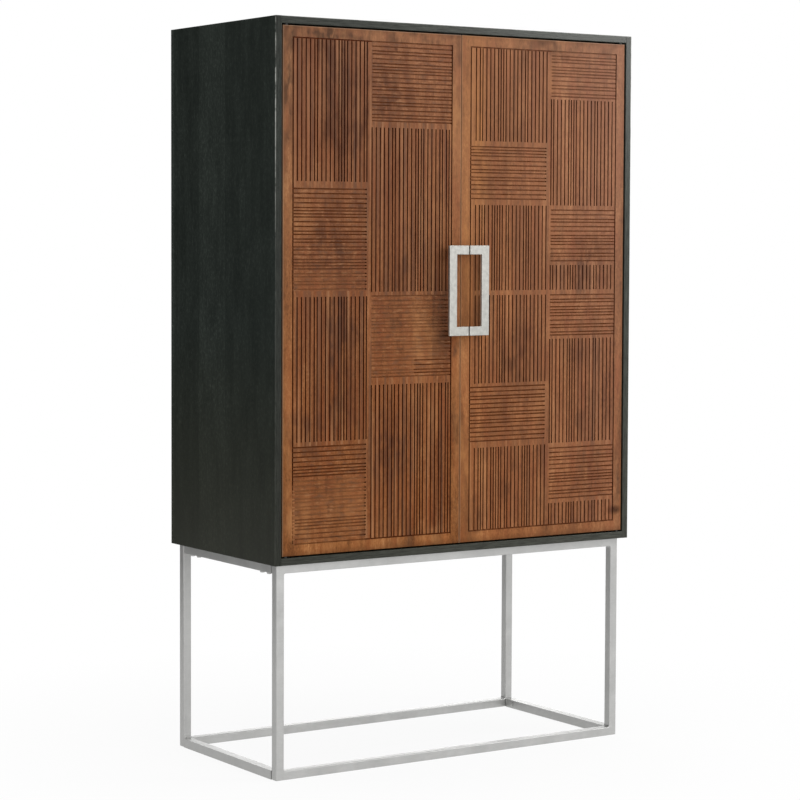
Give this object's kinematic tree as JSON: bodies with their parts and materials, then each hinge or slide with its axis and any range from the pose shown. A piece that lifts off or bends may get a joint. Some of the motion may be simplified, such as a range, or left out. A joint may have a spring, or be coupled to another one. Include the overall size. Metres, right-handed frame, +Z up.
{
  "type": "bar armoire",
  "caption": "Bar armoire on an open square-tube base: stained carcase, grooved wood doors on pivot hinges, split loop handle, shelves, stemware rails and bottle rack inside.",
  "frame": {"origin": "on the floor, under the middle of the whole outline with the handles", "axes": "+Z up, +X to the right seen from the front, +Y to the back"},
  "size_m": [0.965, 0.504, 1.648],
  "materials": {
    "charcoal_wood": "satin stain over open grain",
    "walnut": "satin oiled, dark in the grooves",
    "nickel": "brushed nickel plate",
    "hardware_steel": "zinc plated",
    "dowel_wood": "raw beech",
    "catch_plastic": "moulded, fine texture"
  },
  "bodies": {
    "cabinet": {"back_bottom_rail": "nickel", "back_left_leg": "nickel", "back_panel": "charcoal_wood", "back_panel_screws": "hardware_steel", "back_right_leg": "nickel", "back_top_rail": "nickel", "bottle_rack_level_1": "charcoal_wood", "bottle_rack_level_2": "charcoal_wood", "bottle_rack_level_3": "charcoal_wood", "bottle_rack_upright_1": "charcoal_wood", "bottle_rack_upright_2": "charcoal_wood", "bottle_rack_upright_3": "charcoal_wood", "bottom_panel": "charcoal_wood", "cabinet_fixing_screws": "nickel", "centre_divider": "charcoal_wood", "connector_bolts": "nickel", "fixed_shelf": "charcoal_wood", "frame_hardware_screws": "hardware_steel", "front_bottom_rail": "nickel", "front_left_leg": "nickel", "front_right_leg": "nickel", "front_top_rail": "nickel", "hinge_pins": "hardware_steel", "left_bottom_frame_leaf": "hardware_steel", "left_bottom_side_rail": "nickel", "left_side_panel": "charcoal_wood", "left_top_frame_leaf": "hardware_steel", "left_top_side_rail": "nickel", "lower_shelf": "charcoal_wood", "magnetic_catch": "catch_plastic", "panel_dowels": "dowel_wood", "right_bottom_frame_leaf": "hardware_steel", "right_bottom_side_rail": "nickel", "right_side_panel": "charcoal_wood", "right_top_frame_leaf": "hardware_steel", "right_top_side_rail": "nickel", "shelf_pins": "hardware_steel", "side_rail_connectors": "nickel", "stemware_rail_1": "charcoal_wood", "stemware_rail_2": "charcoal_wood", "stemware_rail_3": "charcoal_wood", "stemware_rail_4": "charcoal_wood", "stemware_rail_screws": "hardware_steel", "stemware_shelf": "charcoal_wood", "top_panel": "charcoal_wood"},
    "left_door": {"left_bottom_door_leaf": "hardware_steel", "left_door_panel": "walnut", "left_door_screws": "hardware_steel", "left_handle": "nickel", "left_handle_screws": "hardware_steel", "left_strike_plate": "hardware_steel", "left_top_door_leaf": "hardware_steel"},
    "right_door": {"right_bottom_door_leaf": "hardware_steel", "right_door_panel": "walnut", "right_door_screws": "hardware_steel", "right_handle": "nickel", "right_handle_screws": "hardware_steel", "right_strike_plate": "hardware_steel", "right_top_door_leaf": "hardware_steel"}
  },
  "joints": [
    {"name": "left_door_hinge", "type": "hinge", "parent": "cabinet", "child": "left_door", "pos_m": [-0.453, -0.211, 0.487], "axis": [0, 0, -1], "range_deg": [0, 110]},
    {"name": "right_door_hinge", "type": "hinge", "parent": "cabinet", "child": "right_door", "pos_m": [0.453, -0.211, 0.487], "axis": [0, 0, 1], "range_deg": [0, 110]}
  ]
}
